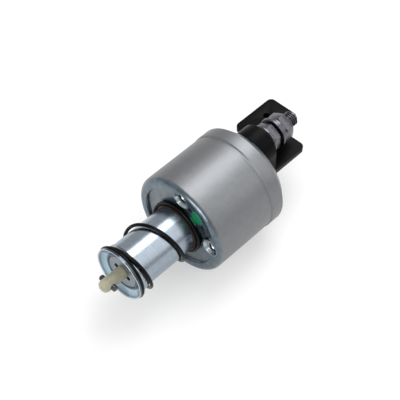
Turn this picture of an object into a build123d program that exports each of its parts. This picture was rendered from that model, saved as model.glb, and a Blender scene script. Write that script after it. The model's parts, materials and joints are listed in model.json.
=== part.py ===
"""Starter solenoid: pull-in and hold-in windings in a steel can, a plunger with a pull rod,
and a contact bridge under a moulded cap with two M8 studs.

Frame: X is the solenoid's axis, the plunger points to -X and the terminals to +X, +Z is up.
The origin is where the plunger's axis crosses the front mounting face. Millimetres.
Profiles of turned pieces are drawn as (x, radius) and revolved about X.
"""

from build123d import *
from math import cos, pi, sin
import os

os.makedirs("parts", exist_ok=True)

# Clearances
running = 0.08                # radial, between pieces that slide on each other
seated = 0.03                 # radial, between pieces that are assembled once
contact_gap = 0.05            # axial, between pieces that meet at the end of a movement

# Travel
stroke = 11.0                 # plunger
bridge_travel = 2.6           # contact rod
bridge_overtravel = 0.6       # contact rod, after the disc has met the studs

# Case
case_r = 27.0
case_wall = 2.2
face_t = 8.0                  # thickness of the front end
nose_r = 2.8                  # edge radius of the front end
rim_w = 2.4                   # flat rim of the front face, inside the nose radius
rim_step = 0.3                # rim standing out from the rest of the face
neck_x, neck_len, neck_depth = 36.4, 0.8, 0.4
band_rise = 0.3               # rear band over the case
band_wall = 1.45
band_x, band_end = 37.9, 44.45
step_x = 38.2                 # inner step that the core plate sits on
lip_reach, lip_t = 3.6, 1.4   # lip rolled in at 45 degrees
lip_round = 2.0
pocket_depth = 1.3
pocket_in_r = 15.4
pocket_corner_r = 1.6
pocket_draft = 20.0

# Mounting threads, M6, through the front end
thread_core_r = 2.5
thread_inset = 5.4            # from the case's side to the thread's axis
thread_axis = 135.75          # direction halfway between the two close threads
thread_spread = 40.25         # each of them to that direction
dimple_r, dimple_depth = 3.3, 1.5
dimple_inset = 6.4
dimple_draft = 35.0
boss_half = 18.0              # angle from a thread to the side of its boss
far_boss_half = 49.25         # the same on the boss of the third thread

# Plunger and sleeve
plunger_r = 12.35
plunger_front = -36.0
plunger_edge = 0.4
plunger_rear_edge = 0.5
nose_len = 3.0
nose_base_r, nose_tip_r = 9.0, 6.0
pole_x = 26.0                 # front of the fixed core
pole_gap = 0.3                # air gap left at full stroke
sleeve_wall = 0.5
sleeve_out = 1.6              # sleeve standing out of the front face
bore_r = 7.2                  # plunger's bore for the pull rod
bore_end = 0.0
stake_x, stake_half, stake_depth = -34.3, 0.5, 0.3

# Spring cup
cup_r = 14.3
cup_rim_x = -39.4
cup_seat_x = -38.2            # back of the rim, where the return spring rests
cup_floor_x = -37.0
cup_floor_r = 9.0
cup_hole_r = 4.2
cup_skirt_end = -33.0
cup_skirt_wall = 0.45
cup_ledge_w, cup_ledge_rise = 1.3, 0.5
cup_bend = 2.5                # radius between the ledge and the cone
cup_rim_w, cup_rim_drop = 0.5, 0.2

# Return spring
spring_wire = 1.7
spring_mean_r = 13.9
spring_first = 52.0           # angle where the coil leaves the cup
spring_active = 714.0         # angle of open coil
spring_closed = 345.0         # angle of closed coil at each end

# Pull rod
rod_r = 3.6
rod_tip_x = -50.5
rod_tip_round = 2.6
rod_head_t = 4.0
pin_r = 1.5
pin_len = 10.2
pin_edge = 0.35
pin_x = -45.8
seat_washer_t = 1.0
mesh_wire = 1.8
mesh_mean_r = 5.9
mesh_turns = 8

# Windings
insulator_t = 0.5
bobbin_tube = 1.0
bobbin_flange = 1.2
bobbin_play = 0.4             # radial, to the case
winding_play = 0.1
hold_in_extra = 0.38          # depth of its layers over the pull-in winding's
hold_in_play = 0.8            # radial, to the bobbin's flanges

# Fixed core and contact bridge
core_plate_t = 3.8
bridge_rod_r = 2.4
bridge_rod_edge = 0.4
collar_r, collar_t = 4.2, 1.2
pressure_len = 2.6
pressure_wire = 0.8
pressure_turns = 2.5
coil_play = 0.3               # radial, between a small spring and the rod
bush_wall = 1.0
bush_flange_r, bush_flange_t = 5.2, 0.8
disc_r, disc_t = 10.5, 2.0
disc_edge = 0.4
clip_r, clip_t = 4.8, 0.7
clip_groove = 0.5
bridge_tail, tail_relief = 3.0, 0.1
back_wire = 0.7
back_len = 7.0
back_turns = 5

# Cap
seal_t, seal_w = 0.8, 3.8
cap_wall = 2.2
cap_roof_t = 2.0
cavity_step = 1.5             # from the seal's bore to the cavity
ceiling_x = 0.9               # cavity's end behind the studs' contact faces
boss_r = 10.8                 # round of the battery stud's boss
motor_boss_r = 9.6
boss_x = 60.0                 # end of the terminal boss
boss_bevel = 2.4
boss_lip_gap = 0.3
divider_t = 3.0
divider_root = 1.0            # of the divider in the cap's roof
divider_right = -11.1
divider_left = 23.9
divider_long = 93.6
divider_step = 13.4           # from the long side's end to the short side's
divider_lobe = 5.5            # from the boss to the wide part
divider_step_y = 5.0
divider_corner = 2.8
tie_hole_r, tie_hole_inset, tie_hole_side = 1.7, 11.3, 6.9

# Terminals, M8
stud_circle_r = 13.0
battery_angle, motor_angle = 90.0, 295.0
stud_r = 4.0
stud_pitch_r = 3.6            # where a nut's thread meets the stud's
stud_end = 82.3
stud_chamfer = 1.0
head_w, head_t = 12.0, 3.9
washer_r, washer_t = 8.0, 1.5
nut_w = 13.0                  # across flats
nut_corner_drop = 0.6
nut_face_in = 0.1
jam_nut_t = 4.5
nut_t = 6.5
spring_washer_t = 2.0
spring_washer_r = 7.0
split_w, split_angle = 0.7, 20.0
stack_gap = 0.8               # room left for a cable lug
stud_seal_r, stud_seal_t = 5.9, 1.4

# Trigger terminal and leads
blade_w, blade_t, blade_len = 6.3, 0.8, 7.0
blade_bevel = 1.2
trigger_angle = -20.0         # below the divider
trigger_inset = 3.7           # from the lip's radius to the blade
socket_play, socket_end_play = 1.8, 1.0
socket_wall = 1.2
socket_depth = 8.0
blade_root = 1.5              # of the blade in the socket's floor
lead_r = 0.6
lead_play = 0.2
pull_lead_out = 3.5           # from the motor stud's axis to its lead

# Derived radii
case_bore_r = case_r - case_wall
rim_out_r = case_r - nose_r
rim_in_r = rim_out_r - rim_w
band_r = case_r + band_rise
band_bore_r = band_r - band_wall
lip_r = band_r - lip_reach
thread_circle_r = case_r - thread_inset
dimple_circle_r = case_r - dimple_inset
sleeve_r = plunger_r + running
sleeve_out_r = sleeve_r + sleeve_wall
bobbin_r = case_bore_r - bobbin_play
bobbin_in_r = sleeve_out_r + seated
bobbin_out_r = bobbin_in_r + bobbin_tube
pull_in_bore_r = bobbin_out_r + seated
hold_in_r = bobbin_r - hold_in_play
pull_in_r = pull_in_bore_r + (hold_in_r - pull_in_bore_r - seated - hold_in_extra) / 2
cap_flange_r = band_bore_r - contact_gap
seal_in_r = cap_flange_r - seal_w
cavity_r = seal_in_r - cavity_step
trigger_r = lip_r - trigger_inset

# Derived places along the axis
plunger_rear = pole_x - pole_gap - stroke
plunger_tip = plunger_rear + nose_len
lip_x = band_end + lip_reach
core_back = step_x + core_plate_t
cap_front = core_back + seal_t
bobbin_x = face_t + insulator_t
bobbin_end = step_x - winding_play
winding_x = bobbin_x + bobbin_flange + winding_play
winding_end = bobbin_end - bobbin_flange - winding_play
bridge_tip = plunger_tip + stroke - bridge_travel + contact_gap
collar_x = core_back + 2 * contact_gap
pressure_x = collar_x + collar_t
bush_x = pressure_x + pressure_len
disc_x = bush_x + bush_flange_t
clip_x = disc_x + disc_t + 2 * contact_gap
disc_travel = bridge_travel - bridge_overtravel
head_x = disc_x + disc_t + disc_travel + contact_gap
head_end = head_x + head_t
cap_ceiling = head_x + ceiling_x
cap_top = cap_ceiling + cap_roof_t
boss_base = lip_x + boss_lip_gap
back_x = clip_x + clip_t
back_end = back_x + back_len
washer_x = boss_x
jam_nut_x = washer_x + washer_t
cable_washer_x = jam_nut_x + jam_nut_t + stack_gap
spring_washer_x = cable_washer_x + washer_t
nut_x = spring_washer_x + spring_washer_t
socket_floor = boss_base + cap_wall + blade_root / 3
blade_x = socket_floor - blade_root
socket_end = socket_floor + socket_depth
divider_short = divider_long - divider_step
divider_lobe_x = boss_x + divider_lobe
tie_hole_place = (divider_long - tie_hole_inset, divider_left - tie_hole_side)

# The rolled lip and the cap under it are 45 degree cones, each named by the sum of x and radius
lip_sum = band_end + band_r
lip_inner_sum = lip_sum - lip_t * 2 ** 0.5
cap_sum = lip_inner_sum - contact_gap * 2 ** 0.5
cavity_sum = cap_sum - cap_wall * 2 ** 0.5

thread_angles = (thread_axis - thread_spread, thread_axis + thread_spread, thread_axis + 180)
stud_angles = (battery_angle, motor_angle)


def at_angle(radius, angle):
    """Point of the YZ plane at a radius and an angle from +Y towards +Z."""
    return (radius * cos(angle * pi / 180), radius * sin(angle * pi / 180))


def plane_at(x, radius, angle):
    """Plane across X at a radius and an angle, with its own Y pointing outwards."""
    y, z = at_angle(radius, angle)
    across = at_angle(1, angle - 90)
    return Plane(origin=(x, y, z), x_dir=(0, *across), z_dir=(1, 0, 0))


def stud_planes(x):
    """Planes across both studs."""
    return [plane_at(x, stud_circle_r, angle) for angle in stud_angles]


lead_places = (
    at_angle(trigger_r, trigger_angle),
    at_angle(stud_circle_r + pull_lead_out, motor_angle),
)


def coil_points(x_of_turn, mean_r, start, sweep_angle, step=30):
    """Points of a coil about X; x_of_turn gives x for an angle counted from the start."""
    count = round(sweep_angle / step)
    points = []
    for i in range(count + 1):
        turned = sweep_angle * i / count
        y, z = at_angle(mean_r, start + turned)
        points.append((x_of_turn(turned), y, z))
    return points


def plain_coil(x0, x1, turns, wire):
    """Rule for a coil with a closed turn at each end between two seats."""
    low, high = x0 + wire / 2, x1 - wire / 2
    closed = 300.0
    total = turns * 360.0

    def x_of_turn(turned):
        part = (turned - closed) / (total - 2 * closed)
        part = min(max(part, 0.0), 1.0)
        return low + (high - low) * part * part * (3 - 2 * part)

    return x_of_turn


# Case, with its front end, rear band and the lip that is rolled in over the cap
with BuildPart() as case:
    with BuildSketch():
        with BuildLine():
            lip_edge = lip_t / 2 ** 0.5
            Polyline(
                (lip_x - lip_edge, lip_r - lip_edge),
                (lip_inner_sum - band_bore_r, band_bore_r),
                (step_x, band_bore_r),
                (step_x, case_bore_r),
                (face_t, case_bore_r),
                (face_t, sleeve_out_r + seated),
                (rim_step, sleeve_out_r + seated),
                (rim_step, rim_in_r),
                (0, rim_in_r),
                (0, case_r),
                (neck_x - neck_depth, case_r),
                (neck_x, case_r - neck_depth),
                (neck_x + neck_len, case_r - neck_depth),
                (band_x, band_r),
                (band_end, band_r),
                (lip_x, lip_r),
                close=True,
            )
        outline = make_face()
        fillet(outline.vertices().sort_by_distance((0, case_r))[0], nose_r)
        fillet(outline.vertices().sort_by_distance((band_end, band_r))[0], lip_round)
    revolve(axis=Axis.X)
    pocket_spans = (
        (thread_angles[0] + boss_half, thread_angles[1] - boss_half),
        (thread_angles[2] + far_boss_half - 360, thread_angles[0] - boss_half),
        (thread_angles[1] + boss_half, thread_angles[2] - far_boss_half),
    )
    with BuildSketch(Plane.YZ):
        for low, high in pocket_spans:
            with BuildLine():
                outer = CenterArc((0, 0), rim_in_r, low, high - low)
                inner = CenterArc((0, 0), pocket_in_r, low, high - low)
                Line(outer @ 0, inner @ 0)
                Line(outer @ 1, inner @ 1)
            make_face()
        fillet(vertices(), pocket_corner_r)
    extrude(amount=pocket_depth, taper=pocket_draft, mode=Mode.SUBTRACT)
    with BuildSketch(Plane.YZ.offset(dimple_depth)):
        for angle in thread_angles:
            with Locations(at_angle(dimple_circle_r, angle)):
                Circle(dimple_r)
    extrude(amount=-dimple_depth, taper=-dimple_draft, mode=Mode.SUBTRACT)
    with BuildSketch(Plane.YZ):
        for angle in thread_angles:
            with Locations(at_angle(thread_circle_r, angle)):
                Circle(thread_core_r)
    extrude(amount=face_t, mode=Mode.SUBTRACT)
case.part.label = "case"

# Guide sleeve that the plunger slides in
with BuildPart() as guide_sleeve:
    with BuildSketch():
        with BuildLine():
            Polyline(
                (-sleeve_out, sleeve_r),
                (-sleeve_out, sleeve_out_r),
                (bobbin_end, sleeve_out_r),
                (bobbin_end, sleeve_r),
                close=True,
            )
        make_face()
    revolve(axis=Axis.X)
guide_sleeve.part.label = "guide_sleeve"

# Insulating ring between the front end and the bobbin
with BuildPart() as front_insulator:
    with BuildSketch(Plane.YZ.offset(face_t)):
        Circle(bobbin_r)
        Circle(bobbin_in_r, mode=Mode.SUBTRACT)
    extrude(amount=insulator_t)
front_insulator.part.label = "front_insulator"

# Bobbin, with a way out for both leads through its rear flange
with BuildPart() as bobbin:
    with BuildSketch():
        with BuildLine():
            Polyline(
                (bobbin_x, bobbin_in_r),
                (bobbin_x, bobbin_r),
                (bobbin_x + bobbin_flange, bobbin_r),
                (bobbin_x + bobbin_flange, bobbin_out_r),
                (bobbin_end - bobbin_flange, bobbin_out_r),
                (bobbin_end - bobbin_flange, bobbin_r),
                (bobbin_end, bobbin_r),
                (bobbin_end, bobbin_in_r),
                close=True,
            )
        make_face()
    revolve(axis=Axis.X)
    with BuildSketch(Plane.YZ.offset(bobbin_end)):
        with Locations(*lead_places):
            Circle(lead_r + lead_play)
    extrude(amount=-bobbin_flange, mode=Mode.SUBTRACT)
bobbin.part.label = "bobbin"

# Pull-in winding, thick wire, next to the bobbin's tube
with BuildPart() as pull_in_winding:
    with BuildSketch(Plane.YZ.offset(winding_x)):
        Circle(pull_in_r)
        Circle(pull_in_bore_r, mode=Mode.SUBTRACT)
    extrude(amount=winding_end - winding_x)
pull_in_winding.part.label = "pull_in_winding"

# Hold-in winding, thin wire, outside it
with BuildPart() as hold_in_winding:
    with BuildSketch(Plane.YZ.offset(winding_x)):
        Circle(hold_in_r)
        Circle(pull_in_r + seated, mode=Mode.SUBTRACT)
    extrude(amount=winding_end - winding_x)
hold_in_winding.part.label = "hold_in_winding"

# Fixed core: a plate that closes the magnetic circuit and a pole with a coned seat
with BuildPart() as fixed_core:
    with BuildSketch():
        with BuildLine():
            Polyline(
                (pole_x, nose_base_r + pole_gap),
                (pole_x, plunger_r),
                (step_x, plunger_r),
                (step_x, band_bore_r - seated),
                (core_back, band_bore_r - seated),
                (core_back, bridge_rod_r + running),
                (pole_x + nose_len, bridge_rod_r + running),
                (pole_x + nose_len, nose_tip_r + pole_gap),
                close=True,
            )
        make_face()
    revolve(axis=Axis.X)
    with BuildSketch(Plane.YZ.offset(step_x)):
        with Locations(*lead_places):
            Circle(lead_r + lead_play)
    extrude(amount=core_plate_t, mode=Mode.SUBTRACT)
fixed_core.part.label = "fixed_core"

# Plunger, bored for the pull rod and grooved for the cup's staked skirt
with BuildPart() as plunger:
    with BuildSketch():
        with BuildLine():
            Polyline(
                (plunger_front, bore_r),
                (plunger_front, plunger_r - plunger_edge),
                (plunger_front + plunger_edge, plunger_r),
                (stake_x - stake_half, plunger_r),
                (stake_x - stake_half / 2, plunger_r - stake_depth - seated),
                (stake_x + stake_half / 2, plunger_r - stake_depth - seated),
                (stake_x + stake_half, plunger_r),
                (plunger_rear - plunger_rear_edge, plunger_r),
                (plunger_rear, plunger_r - plunger_rear_edge),
                (plunger_rear, nose_base_r),
                (plunger_tip, nose_tip_r),
                (plunger_tip, 0),
                (bore_end, 0),
                (bore_end, bore_r),
                close=True,
            )
        make_face()
    revolve(axis=Axis.X)
plunger.part.label = "plunger"

# Spring cup, coned, with a skirt staked into the plunger's groove
skirt_r = plunger_r + seated
skirt_out_r = skirt_r + cup_skirt_wall
with BuildPart() as spring_cup:
    with BuildSketch():
        with BuildLine():
            Polyline(
                (cup_floor_x, cup_hole_r),
                (cup_floor_x, cup_floor_r),
                (cup_floor_x - cup_ledge_rise, cup_floor_r + cup_ledge_rise),
                (cup_floor_x - cup_ledge_rise, cup_floor_r + cup_ledge_w),
                (cup_rim_x + cup_rim_drop, cup_r - cup_rim_w),
                (cup_rim_x, cup_r - cup_skirt_wall / 2),
                (cup_rim_x + cup_skirt_wall / 2, cup_r),
                (cup_seat_x, cup_r),
                (cup_seat_x, skirt_out_r),
                (stake_x - stake_half, skirt_out_r),
                (stake_x - stake_half / 2, skirt_out_r - stake_depth),
                (stake_x + stake_half / 2, skirt_out_r - stake_depth),
                (stake_x + stake_half, skirt_out_r),
                (cup_skirt_end, skirt_out_r),
                (cup_skirt_end, skirt_r),
                (stake_x + stake_half, skirt_r),
                (stake_x + stake_half / 2, skirt_r - stake_depth),
                (stake_x - stake_half / 2, skirt_r - stake_depth),
                (stake_x - stake_half, skirt_r),
                (plunger_front, skirt_r),
                (plunger_front, cup_hole_r),
                close=True,
            )
        dish = make_face()
        bend_place = (cup_floor_x - cup_ledge_rise, cup_floor_r + cup_ledge_w)
        fillet(dish.vertices().sort_by_distance(bend_place)[0], cup_bend)
    revolve(axis=Axis.X)
spring_cup.part.label = "spring_cup"

# Return spring between the cup and the front face
spring_low = cup_seat_x + spring_wire / 2 + seated
spring_high = rim_step - spring_wire / 2 - seated
spring_total = spring_active + 2 * spring_closed


def return_spring_x(turned):
    """Closed coil, open coil with eased ends, closed coil."""
    part = (turned - spring_closed) / spring_active
    part = min(max(part, 0.0), 1.0)
    ease = part - sin(2 * pi * part) / (2 * pi)
    return spring_low + (spring_high - spring_low) * (0.75 * part + 0.25 * ease)


with BuildPart() as return_spring:
    with BuildLine() as return_path:
        Spline(*coil_points(return_spring_x, spring_mean_r, spring_first - spring_closed, spring_total))
    with BuildSketch(Plane(origin=return_path.line @ 0, z_dir=return_path.line % 0)):
        Circle(spring_wire / 2)
    sweep()
return_spring.part.label = "return_spring"

# Pull rod with a guiding head inside the plunger
rod_head_x = bore_end - contact_gap - rod_head_t
with BuildPart() as pull_rod:
    with BuildSketch():
        with BuildLine():
            Polyline(
                (rod_tip_x, 0),
                (rod_tip_x, rod_r),
                (rod_head_x, rod_r),
                (rod_head_x, bore_r - running),
                (bore_end - contact_gap, bore_r - running),
                (bore_end - contact_gap, 0),
                close=True,
            )
        outline = make_face()
        fillet(outline.vertices().sort_by_distance((rod_tip_x, rod_r))[0], rod_tip_round)
    revolve(axis=Axis.X)
    with BuildSketch(Plane.XZ):
        with Locations((pin_x, 0)):
            Circle(pin_r + seated)
    extrude(amount=rod_r * 2, both=True, mode=Mode.SUBTRACT)
pull_rod.part.label = "pull_rod"

# Cross pin that the fork lever pulls
with BuildPart() as cross_pin:
    with BuildSketch(Plane.XZ):
        with Locations((pin_x, 0)):
            Circle(pin_r)
    extrude(amount=pin_len / 2, both=True)
    chamfer(cross_pin.edges().filter_by(GeomType.CIRCLE), pin_edge)
cross_pin.part.label = "cross_pin"

# Seat washer between the pull rod's head and the meshing spring
with BuildPart() as meshing_spring_washer:
    with BuildSketch(Plane.YZ.offset(rod_head_x - seat_washer_t)):
        Circle(bore_r - 2 * running)
        Circle(rod_r + seated, mode=Mode.SUBTRACT)
    extrude(amount=seat_washer_t)
meshing_spring_washer.part.label = "meshing_spring_washer"

# Meshing spring, round the pull rod and inside the plunger
mesh_end = rod_head_x - seat_washer_t - seated
with BuildPart() as meshing_spring:
    with BuildLine() as mesh_path:
        mesh_rule = plain_coil(plunger_front + seated, mesh_end, mesh_turns, mesh_wire)
        Spline(*coil_points(mesh_rule, mesh_mean_r, 0, mesh_turns * 360))
    with BuildSketch(Plane(origin=mesh_path.line @ 0, z_dir=mesh_path.line % 0)):
        Circle(mesh_wire / 2)
    sweep()
meshing_spring.part.label = "meshing_spring"

# Contact rod, pushed by the plunger's nose near the end of the stroke
with BuildPart() as contact_rod:
    with BuildSketch():
        with BuildLine():
            Polyline(
                (bridge_tip, 0),
                (bridge_tip, bridge_rod_r - bridge_rod_edge),
                (bridge_tip + bridge_rod_edge, bridge_rod_r),
                (collar_x, bridge_rod_r),
                (collar_x, collar_r),
                (pressure_x, collar_r),
                (pressure_x, bridge_rod_r),
                (clip_x - seated, bridge_rod_r),
                (clip_x - seated, bridge_rod_r - clip_groove),
                (back_x + seated, bridge_rod_r - clip_groove),
                (back_x + seated, bridge_rod_r - tail_relief),
                (back_x + bridge_tail, bridge_rod_r - tail_relief),
                (back_x + bridge_tail, 0),
                close=True,
            )
        make_face()
    revolve(axis=Axis.X)
contact_rod.part.label = "contact_rod"

# Spring that presses the disc against the clip
pressure_mean_r = bridge_rod_r + coil_play + pressure_wire / 2
with BuildPart() as contact_pressure_spring:
    with BuildLine() as pressure_path:
        pressure_rule = plain_coil(pressure_x + seated, bush_x - seated, pressure_turns, pressure_wire)
        Spline(*coil_points(pressure_rule, pressure_mean_r, 0, pressure_turns * 360))
    with BuildSketch(Plane(origin=pressure_path.line @ 0, z_dir=pressure_path.line % 0)):
        Circle(pressure_wire / 2)
    sweep()
contact_pressure_spring.part.label = "contact_pressure_spring"

# Insulating bush that carries the disc on the rod
bush_in_r = bridge_rod_r + running
bush_out_r = bush_in_r + bush_wall
with BuildPart() as contact_bush:
    with BuildSketch():
        with BuildLine():
            Polyline(
                (bush_x, bush_in_r),
                (bush_x, bush_flange_r),
                (disc_x, bush_flange_r),
                (disc_x, bush_out_r),
                (disc_x + disc_t + contact_gap, bush_out_r),
                (disc_x + disc_t + contact_gap, bush_in_r),
                close=True,
            )
        make_face()
    revolve(axis=Axis.X)
contact_bush.part.label = "contact_bush"

# Copper disc that bridges the two studs
with BuildPart() as contact_disc:
    with BuildSketch(Plane.YZ.offset(disc_x)):
        Circle(disc_r)
        Circle(bush_out_r + seated, mode=Mode.SUBTRACT)
    extrude(amount=disc_t)
    chamfer(contact_disc.edges().filter_by(GeomType.CIRCLE).sort_by(SortBy.LENGTH)[-2:], disc_edge)
contact_disc.part.label = "contact_disc"

# Clip in the rod's groove, open on one side
with BuildPart() as retaining_clip:
    with BuildSketch(Plane.YZ.offset(clip_x)):
        Circle(clip_r)
        clip_bore_r = bridge_rod_r - clip_groove + seated
        Circle(clip_bore_r, mode=Mode.SUBTRACT)
        with Locations((0, -clip_r)):
            Rectangle(2 * (clip_bore_r - 5 * seated), 2 * clip_r, mode=Mode.SUBTRACT)
    extrude(amount=clip_t)
retaining_clip.part.label = "retaining_clip"

# Spring that pushes the bridge back
back_mean_r = bridge_rod_r + coil_play + back_wire / 2
with BuildPart() as contact_return_spring:
    with BuildLine() as back_path:
        back_rule = plain_coil(back_x + seated, back_end - seated, back_turns, back_wire)
        Spline(*coil_points(back_rule, back_mean_r, 0, back_turns * 360))
    with BuildSketch(Plane(origin=back_path.line @ 0, z_dir=back_path.line % 0)):
        Circle(back_wire / 2)
    sweep()
contact_return_spring.part.label = "contact_return_spring"

# Seal between the core plate and the cap
with BuildPart() as cap_seal:
    with BuildSketch(Plane.YZ.offset(core_back)):
        Circle(cap_flange_r - seated)
        Circle(seal_in_r, mode=Mode.SUBTRACT)
    extrude(amount=seal_t)
cap_seal.part.label = "cap_seal"

# Terminal cap: coned body, bosses for both studs, the divider between them and a blade socket
with BuildPart() as terminal_cap:
    with BuildSketch():
        with BuildLine():
            Polyline(
                (cap_front, 0),
                (cap_front, cap_flange_r),
                (cap_sum - cap_flange_r, cap_flange_r),
                (cap_top, cap_sum - cap_top),
                (cap_top, 0),
                close=True,
            )
        make_face()
    revolve(axis=Axis.X)
    with BuildSketch(Plane.YZ.offset(boss_base)):
        with Locations((0, 0), at_angle(stud_circle_r, battery_angle)):
            Circle(boss_r)
        make_hull()
    extrude(amount=boss_x - boss_base)
    with BuildSketch(Plane.YZ.offset(boss_base)):
        with Locations((0, 0), at_angle(stud_circle_r, motor_angle)):
            Circle(motor_boss_r)
        make_hull()
    extrude(amount=boss_x - boss_base)
    chamfer(terminal_cap.faces().sort_by(Axis.X)[-1].edges(), boss_bevel)
    socket_w = blade_w + 2 * socket_end_play
    socket_h = blade_t + 2 * socket_play
    with BuildSketch(plane_at(boss_base, trigger_r, trigger_angle)):
        Rectangle(socket_w + 2 * socket_wall, socket_h + 2 * socket_wall)
    extrude(amount=socket_end - boss_base)
    with BuildSketch(Plane.XY.offset(-divider_t / 2)):
        with BuildLine():
            Polyline(
                (cap_top - divider_root, divider_right),
                (divider_short, divider_right),
                (divider_short, divider_step_y),
                (divider_long, divider_step_y),
                (divider_long, divider_left),
                (divider_lobe_x, divider_left),
                (divider_lobe_x, -divider_right),
                (cap_top - divider_root, -divider_right),
                close=True,
            )
        plate = make_face()
        fillet(plate.vertices().group_by(Axis.X)[1:], divider_corner)
        with Locations(tie_hole_place):
            Circle(tie_hole_r, mode=Mode.SUBTRACT)
    extrude(amount=divider_t)
    with BuildSketch():
        with BuildLine():
            Polyline(
                (cap_front, 0),
                (cap_front, cavity_r),
                (cavity_sum - cavity_r, cavity_r),
                (cap_ceiling, cavity_sum - cap_ceiling),
                (cap_ceiling, 0),
                close=True,
            )
        make_face()
    revolve(axis=Axis.X, mode=Mode.SUBTRACT)
    with BuildSketch(*stud_planes(cap_front)):
        Rectangle(head_w + 2 * seated, head_w + 2 * seated)
    extrude(amount=head_end - cap_front, mode=Mode.SUBTRACT)
    with BuildSketch(*stud_planes(head_end)):
        Circle(stud_seal_r + seated)
    extrude(amount=stud_seal_t, mode=Mode.SUBTRACT)
    with BuildSketch(*stud_planes(head_end)):
        Circle(stud_r + seated)
    extrude(amount=boss_x - head_end, mode=Mode.SUBTRACT)
    with BuildSketch(Plane.YZ.offset(cap_front)):
        Circle(clip_r + clip_groove)
    extrude(amount=back_end - cap_front, mode=Mode.SUBTRACT)
    with BuildSketch(plane_at(socket_floor, trigger_r, trigger_angle)):
        Rectangle(socket_w, socket_h)
    extrude(amount=socket_depth, mode=Mode.SUBTRACT)
    with BuildSketch(plane_at(blade_x, trigger_r, trigger_angle)):
        Rectangle(blade_w + 2 * seated, blade_t + 2 * seated)
    extrude(amount=blade_root, mode=Mode.SUBTRACT)
    with BuildSketch(plane_at(cap_front, trigger_r, trigger_angle)):
        Circle(lead_r + seated)
    extrude(amount=blade_x - cap_front, mode=Mode.SUBTRACT)
terminal_cap.part.label = "terminal_cap"


def stud(angle):
    """M8 stud with a square contact head, drawn at its thread's pitch radius inside the nuts."""
    with BuildPart() as made:
        with BuildSketch(plane_at(head_x, stud_circle_r, angle)):
            Rectangle(head_w, head_w)
        extrude(amount=head_t)
        with BuildSketch(plane_at(head_end, stud_circle_r, angle)):
            Circle(stud_r)
        extrude(amount=stud_end - head_end)
        chamfer(made.faces().sort_by(Axis.X)[-1].edges(), stud_chamfer)
        for x, thickness in ((jam_nut_x, jam_nut_t), (nut_x, nut_t)):
            with BuildSketch(plane_at(x - contact_gap, stud_circle_r, angle)):
                Circle(stud_r + seated)
                Circle(stud_pitch_r, mode=Mode.SUBTRACT)
            extrude(amount=thickness + 2 * contact_gap, mode=Mode.SUBTRACT)
    return made.part


battery_stud = stud(battery_angle)
battery_stud.label = "battery_stud"
motor_stud = stud(motor_angle)
motor_stud.label = "motor_stud"


def rings(x, outer_r, inner_r, thickness):
    """One ring on each stud."""
    with BuildPart() as made:
        with BuildSketch(*stud_planes(x)):
            Circle(outer_r)
            Circle(inner_r, mode=Mode.SUBTRACT)
        extrude(amount=thickness)
    return made.part


# Seals under the stud heads and plain washers on the studs
stud_seals = rings(head_end, stud_seal_r, stud_r + seated, stud_seal_t)
stud_seals.label = "stud_seals"
boss_washers = rings(washer_x, washer_r, stud_r + seated, washer_t)
boss_washers.label = "boss_washers"
cable_washers = rings(cable_washer_x, washer_r, stud_r + seated, washer_t)
cable_washers.label = "cable_washers"


def hex_nuts(x, thickness):
    """One hexagon nut on each stud, with its corners turned down at both ends."""
    corner_r = nut_w / 3 ** 0.5
    face_r = nut_w / 2 - nut_face_in
    with BuildPart() as made:
        with BuildSketch(*stud_planes(x)):
            RegularPolygon(corner_r, 6, rotation=30)
            Circle(stud_pitch_r + seated, mode=Mode.SUBTRACT)
        extrude(amount=thickness)
        for stud_plane in stud_planes(x):
            side = Plane(origin=stud_plane.origin, x_dir=stud_plane.z_dir, z_dir=-stud_plane.x_dir)
            with BuildSketch(side):
                with BuildLine():
                    Polyline(
                        (0, corner_r + nut_corner_drop),
                        (0, face_r),
                        (nut_corner_drop, corner_r),
                        (thickness - nut_corner_drop, corner_r),
                        (thickness, face_r),
                        (thickness, corner_r + nut_corner_drop),
                        close=True,
                    )
                make_face()
            revolve(axis=Axis(stud_plane.origin, stud_plane.z_dir), mode=Mode.SUBTRACT)
    return made.part


jam_nuts = hex_nuts(jam_nut_x, jam_nut_t)
jam_nuts.label = "jam_nuts"
terminal_nuts = hex_nuts(nut_x, nut_t)
terminal_nuts.label = "terminal_nuts"

# Split spring washers under the outer nuts
with BuildPart() as spring_washers:
    with BuildSketch(*stud_planes(spring_washer_x)):
        Circle(spring_washer_r)
        Circle(stud_r + seated, mode=Mode.SUBTRACT)
    extrude(amount=spring_washer_t)
    with BuildSketch(*stud_planes(spring_washer_x)):
        with Locations(((stud_r + spring_washer_r) / 2, 0)):
            Rectangle(spring_washer_r - stud_r + 2 * split_w, split_w, rotation=split_angle)
    extrude(amount=spring_washer_t, mode=Mode.SUBTRACT)
spring_washers.part.label = "spring_washers"

# Trigger terminal: a blade with its tip bevelled, standing in the cap's socket
with BuildPart() as trigger_terminal:
    root = plane_at(blade_x, trigger_r, trigger_angle)
    blade_tip = blade_len + blade_root
    with BuildSketch(Plane(origin=root.origin, x_dir=root.z_dir, z_dir=-root.y_dir)):
        with BuildLine():
            Polyline(
                (0, -blade_w / 2),
                (blade_tip - blade_bevel, -blade_w / 2),
                (blade_tip, -blade_w / 2 + blade_bevel),
                (blade_tip, blade_w / 2 - blade_bevel),
                (blade_tip - blade_bevel, blade_w / 2),
                (0, blade_w / 2),
                close=True,
            )
        make_face()
    extrude(amount=blade_t / 2, both=True)
trigger_terminal.part.label = "trigger_terminal"


def lead(place, end_x):
    """Straight lead from the windings' end back to a terminal."""
    with BuildPart() as made:
        with BuildSketch(Plane.YZ.offset(winding_end)):
            with Locations(place):
                Circle(lead_r)
        extrude(amount=end_x - winding_end)
    return made.part


# Leads to the trigger terminal and to the motor stud's head
hold_in_lead = lead(lead_places[0], blade_x)
hold_in_lead.label = "hold_in_lead"
pull_in_lead = lead(lead_places[1], head_x)
pull_in_lead.label = "pull_in_lead"

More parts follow.
